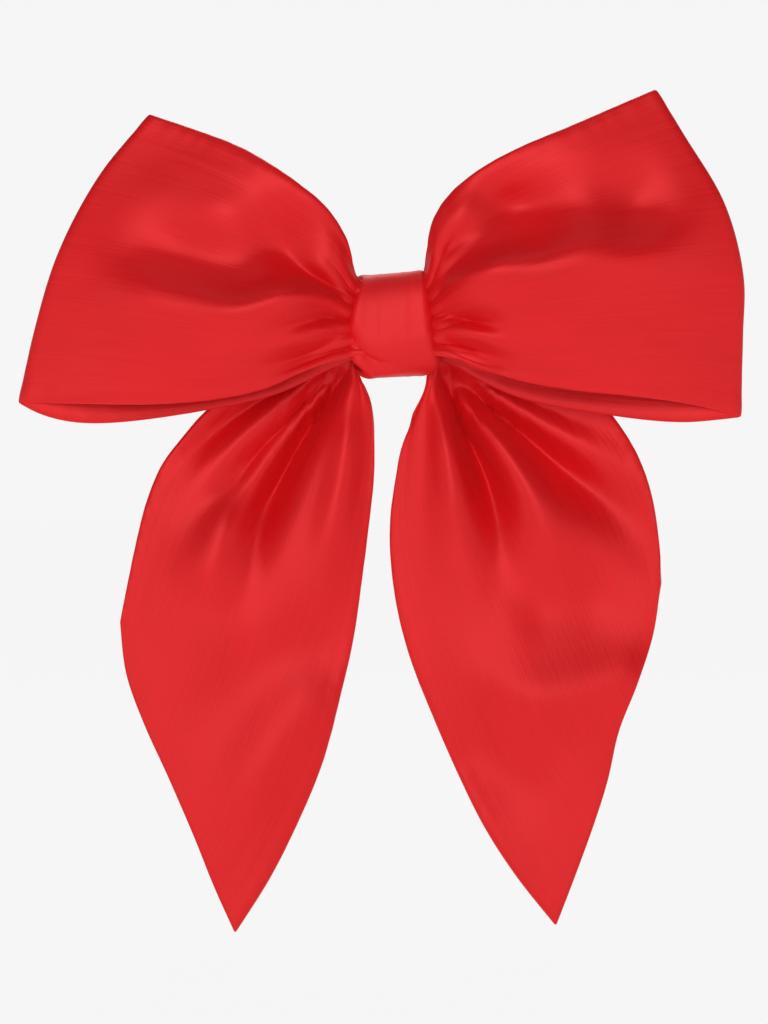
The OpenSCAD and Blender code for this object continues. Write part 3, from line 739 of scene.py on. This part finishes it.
def glue_mesh(mat):
    """A bead of glue pressed out under the plate: a low mound with an uneven rounded edge."""
    low, high = (np.array(c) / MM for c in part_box("glue_pad"))
    mid = (low + high) / 2
    half = (high - low) / 2
    rings, around = 12, 72
    angle = np.linspace(0, 2 * np.pi, around, endpoint=False)
    edge = 1 + 0.05 * np.sin(3 * angle + 1) + 0.04 * np.sin(5 * angle) + 0.02 * np.sin(9 * angle + 2)
    verts = []
    for a in np.linspace(-np.pi / 2, np.pi / 2, rings):
        out = edge * (0.86 + 0.14 * math.cos(a)) if abs(a) < 1.5 else edge * 0.4
        verts += [(mid[0] + half[0] * r * math.cos(b), mid[1] + half[1] * math.sin(a),
                   mid[2] + half[2] * r * math.sin(b)) for r, b in zip(out, angle)]
    faces = [[i * around + k, i * around + (k + 1) % around, (i + 1) * around + (k + 1) % around,
              (i + 1) * around + k] for i in range(rings - 1) for k in range(around)]
    faces += [list(range(around))[::-1], list(range((rings - 1) * around, rings * around))]
    return new_piece("glue_bead", verts, faces, mat)


SPRING_R = 1.3      # middle of the wire from the pin's axis
COIL_L = 2.8
COIL_TURNS = 4
WIRE_R = 0.3
LEG_X = 8.2         # how far along the handles the spring's legs reach


def spring_line(pin, axis):
    """The spring's wire: a leg under the plate's handle, the coil on the pin, a leg under the prong's."""
    x_axis = np.array([axis[2], 0, -axis[0]])
    y_axis = np.array([0.0, 1.0, 0.0])
    turns = np.linspace(0, COIL_TURNS, 18 * COIL_TURNS + 1)
    a = np.radians(-90 - 360 * turns)
    along = COIL_L * np.linspace(-0.5, 0.5, len(a))
    coil = np.stack([SPRING_R * np.cos(a), SPRING_R * np.sin(a), along], -1)
    leg = np.linspace(0, 1, 12)[:, None]
    plate_end = np.array([LEG_X, -2.45, -COIL_L / 2])
    prong_end = np.array([LEG_X, 2.85, COIL_L / 2])
    plate_leg = plate_end + leg[:-1] * (coil[0] - plate_end)
    prong_leg = coil[-1] + leg[1:] * (prong_end - coil[-1])
    line = np.concatenate([plate_leg, coil, prong_leg])
    return pin + line[:, :1] * x_axis + line[:, 1:2] * y_axis + line[:, 2:] * axis


# ---------- the pieces ----------

SATIN = satin()
for name, shape, seed, flat in (("satin_loop_left", LEFT, 3, (0.0535, 0.113)),
                                ("satin_loop_right", RIGHT, 8, (0.0555, 0.115))):
    ob = sheet_mesh(name, loop_grid(shape, seed), SATIN)
    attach(ob, "bow")
    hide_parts("loop_band")
for name, shape, seed, node, body in (("satin_tail_left", LEFT_TAIL, 5, "tail_left", "left_tail"),
                                      ("satin_tail_right", RIGHT_TAIL, 6, "tail_right", "right_tail")):
    ob = sheet_mesh(name, tail_grid(shape, seed), SATIN)
    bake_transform(ob)
    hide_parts(node, "tail_gathers")
ob = sheet_mesh("satin_wrap", wrap_grid(), SATIN)
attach(ob, "bow")
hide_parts("knot_wrap")

ob = bundle_mesh("gathers_core", core_grid(), SATIN)
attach(ob, "bow")
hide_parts("tail_gathers")

THREAD = thread()
PLATED = steel("bright_nickel", (0.60, 0.585, 0.555, 1), (0.50, 0.485, 0.455, 1), 0.10, 0.24)
WIRE = steel("spring_wire", (0.66, 0.65, 0.63, 1), (0.5, 0.49, 0.47, 1), 0.2, 0.36)

ob = tube_mesh("thread_stitches", stitch_lines(4), THREAD_R, THREAD)
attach(ob, "bow")
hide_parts("wrap_stitches")

ob = glue_mesh(glue())
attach(ob, "bow")
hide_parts("glue_pad")

hinge = JOINTS["jaw_hinge"]
pin_axis = -np.array(hinge["axis"])
pin_at = np.array(hinge["pos_m"]) / MM
ob = tube_mesh("spring_wire", [spring_line(pin_at, pin_axis)], WIRE_R, WIRE)
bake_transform(ob)
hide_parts("torsion_spring")

for node, mat in (("jaw_plate", PLATED), ("jaw_prong", PLATED), ("hinge_pin", PLATED),
                  ("gather_thread", THREAD)):
    ob = bpy.data.objects[node]
    ob.data.materials.clear()
    ob.data.materials.append(mat)

# ---------- camera, light and floor ----------


def place(data, name, at, aim):
    """A camera or lamp at one point, turned to another."""
    ob = bpy.data.objects.new(name, data)
    ob.location = at
    ob.rotation_euler = (Vector(aim) - Vector(at)).to_track_quat("-Z", "Y").to_euler()
    bpy.context.scene.collection.objects.link(ob)
    return ob


def sky(world):
    """Nearly white round the horizon and dimmer above, so that the lamps shape the folds."""
    nodes, links = world.node_tree.nodes, world.node_tree.links
    coords = nodes.new("ShaderNodeTexCoord")
    split = nodes.new("ShaderNodeSeparateXYZ")
    up = nodes.new("ShaderNodeMapRange")
    up.interpolation_type = "SMOOTHSTEP"
    for name, value in (("From Min", 0.12), ("From Max", 0.4), ("To Min", 0.92), ("To Max", 0.08)):
        up.inputs[name].default_value = value
    links.new(coords.outputs["Generated"], split.inputs[0])
    links.new(split.outputs["Z"], up.inputs["Value"])
    links.new(up.outputs[0], nodes["Background"].inputs["Strength"])


def lamp(name, kind, at, aim, energy, size):
    """A lamp that the camera doesn't see. size is an area's width in metres, or a sun's angle."""
    data = bpy.data.lights.new(name, kind)
    data.energy = energy
    if kind == "AREA":
        data.size = size
    else:
        data.angle = size
    place(data, name, at, aim).visible_camera = False


MARGIN = 1.22       # the view's height, as a share of the bow's
FLOOR_GAP = 0.004


def studio():
    """The camera straight in front, three soft lamps, the sky, and a pale floor just below the tails."""
    low, high = (Vector(c) for c in cad_box)
    mid = (low + high) / 2
    cam = bpy.data.cameras.new("camera")
    cam.lens = 135
    frame_h = MARGIN * (high.z - low.z)
    dist = frame_h * cam.lens / cam.sensor_width
    bpy.context.scene.camera = place(cam, "camera", mid - Vector((0, dist, 0)), mid)
    lamp("key", "AREA", (-0.10, -0.8, 0.24), mid, 2.7, 0.6)
    lamp("back", "AREA", (0.12, 0.62, 0.62), mid, 3.4, 0.6)
    lamp("overhead", "SUN", (0, -0.1, 1), mid, 0.25, math.radians(50))
    world = bpy.data.worlds.new("studio")
    world.use_nodes = True
    world.node_tree.nodes["Background"].inputs[0].default_value = (1, 1, 1, 1)
    sky(world)
    bpy.context.scene.world = world
    bpy.context.scene.view_settings.view_transform = "Standard"
    floor = bpy.data.meshes.new("floor")
    z = low.z - FLOOR_GAP
    floor.from_pydata([(-30, -30, z), (30, -30, z), (30, 30, z), (-30, 30, z)], [], [(0, 1, 2, 3)])
    ob = bpy.data.objects.new("floor", floor)
    k = Nodes("floor")
    k.set(Base_Color=(0.02, 0.02, 0.02, 1), Roughness=1.0, Specular_IOR_Level=0.0,
          Emission_Color=(1, 1, 1, 1), Emission_Strength=0.91)
    floor.materials.append(k.mat)
    bpy.context.scene.collection.objects.link(ob)


studio()
